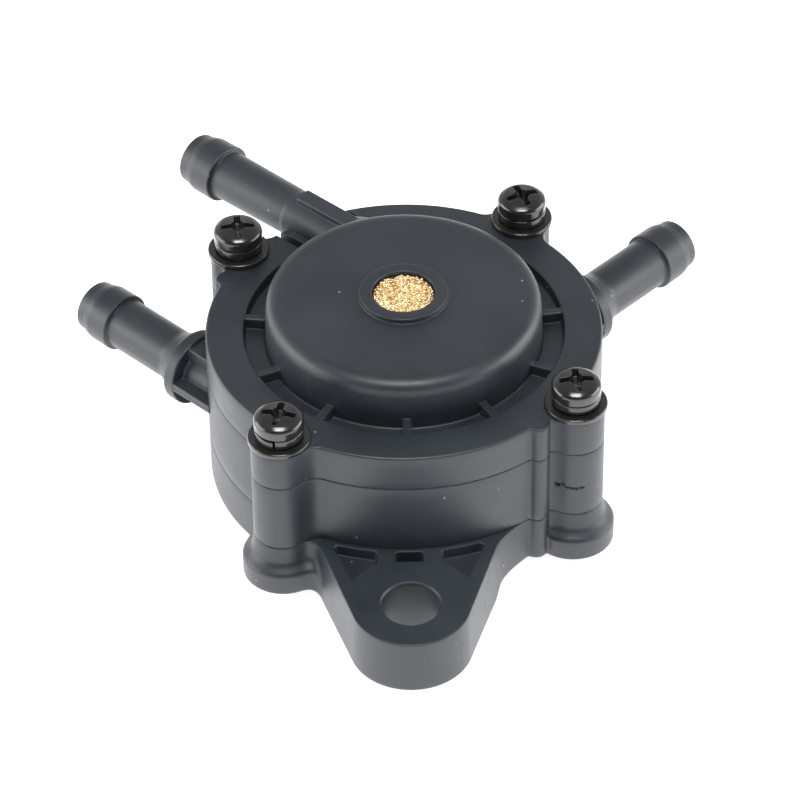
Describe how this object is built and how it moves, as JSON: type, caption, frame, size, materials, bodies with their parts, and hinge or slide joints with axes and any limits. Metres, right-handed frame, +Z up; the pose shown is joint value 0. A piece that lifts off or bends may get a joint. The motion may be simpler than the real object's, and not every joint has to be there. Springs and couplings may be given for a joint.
{
  "type": "pulse diaphragm fuel pump",
  "caption": "Round moulded diaphragm fuel pump: domed cover with porous bronze vent, three barbed hose ports, clamping screws and mounting ears with one hole each.",
  "frame": {"origin": "on the body axis, in the plane of the ear pads and the centre pad (the mounting plane)", "axes": "+Z up along the body axis from the mounting plane to the dome; +Y and -Y through the two mounting holes, -Y is the front ear"},
  "size_m": [0.0874, 0.0914, 0.0305],
  "materials": {
    "nylon_body": "matt moulded glass-filled nylon, black",
    "black_steel": "glossy black oxide on steel",
    "sintered_bronze": "porous sintered bronze beads",
    "diaphragm_rubber": "matt fabric-reinforced rubber",
    "plated_steel": "zinc-plated steel",
    "spring_steel": "bright spring wire"
  },
  "bodies": {
    "casing": {"lower_body": "nylon_body", "damper_membrane": "diaphragm_rubber", "middle_body": "nylon_body", "top_cover": "nylon_body", "vent_disc": "sintered_bronze", "pump_diaphragm": "diaphragm_rubber", "return_spring": "spring_steel", "inlet_valve_guide": "plated_steel", "inlet_valve_spring": "spring_steel", "outlet_valve_guide": "plated_steel", "outlet_valve_spring": "spring_steel", "flat_washer_front_right": "black_steel", "lock_washer_front_right": "black_steel", "screw_front_right": "black_steel", "flat_washer_back_right": "black_steel", "lock_washer_back_right": "black_steel", "screw_back_right": "black_steel", "flat_washer_back_left": "black_steel", "lock_washer_back_left": "black_steel", "screw_back_left": "black_steel", "flat_washer_front_left": "black_steel", "lock_washer_front_left": "black_steel", "screw_front_left": "black_steel"},
    "plunger": {"diaphragm_lower_plate": "plated_steel", "diaphragm_upper_plate": "plated_steel", "diaphragm_rivet": "plated_steel"},
    "inlet_valve": {"inlet_valve_disc": "diaphragm_rubber"},
    "outlet_valve": {"outlet_valve_disc": "diaphragm_rubber"}
  },
  "joints": [
    {"name": "pump_stroke", "type": "slide", "parent": "casing", "child": "plunger", "axis": [0, 0, 1], "range_m": [-0.001, 0.001], "stiffness_N_per_m": 900, "deforming": ["return_spring", "pump_diaphragm"]},
    {"name": "inlet_valve_lift", "type": "slide", "parent": "casing", "child": "inlet_valve", "axis": [0, 0, 1], "range_m": [0, 0.0006], "stiffness_N_per_m": 30, "deforming": ["inlet_valve_spring"]},
    {"name": "outlet_valve_lift", "type": "slide", "parent": "casing", "child": "outlet_valve", "axis": [0, 0, -1], "range_m": [0, 0.0006], "stiffness_N_per_m": 30, "deforming": ["outlet_valve_spring"]}
  ]
}
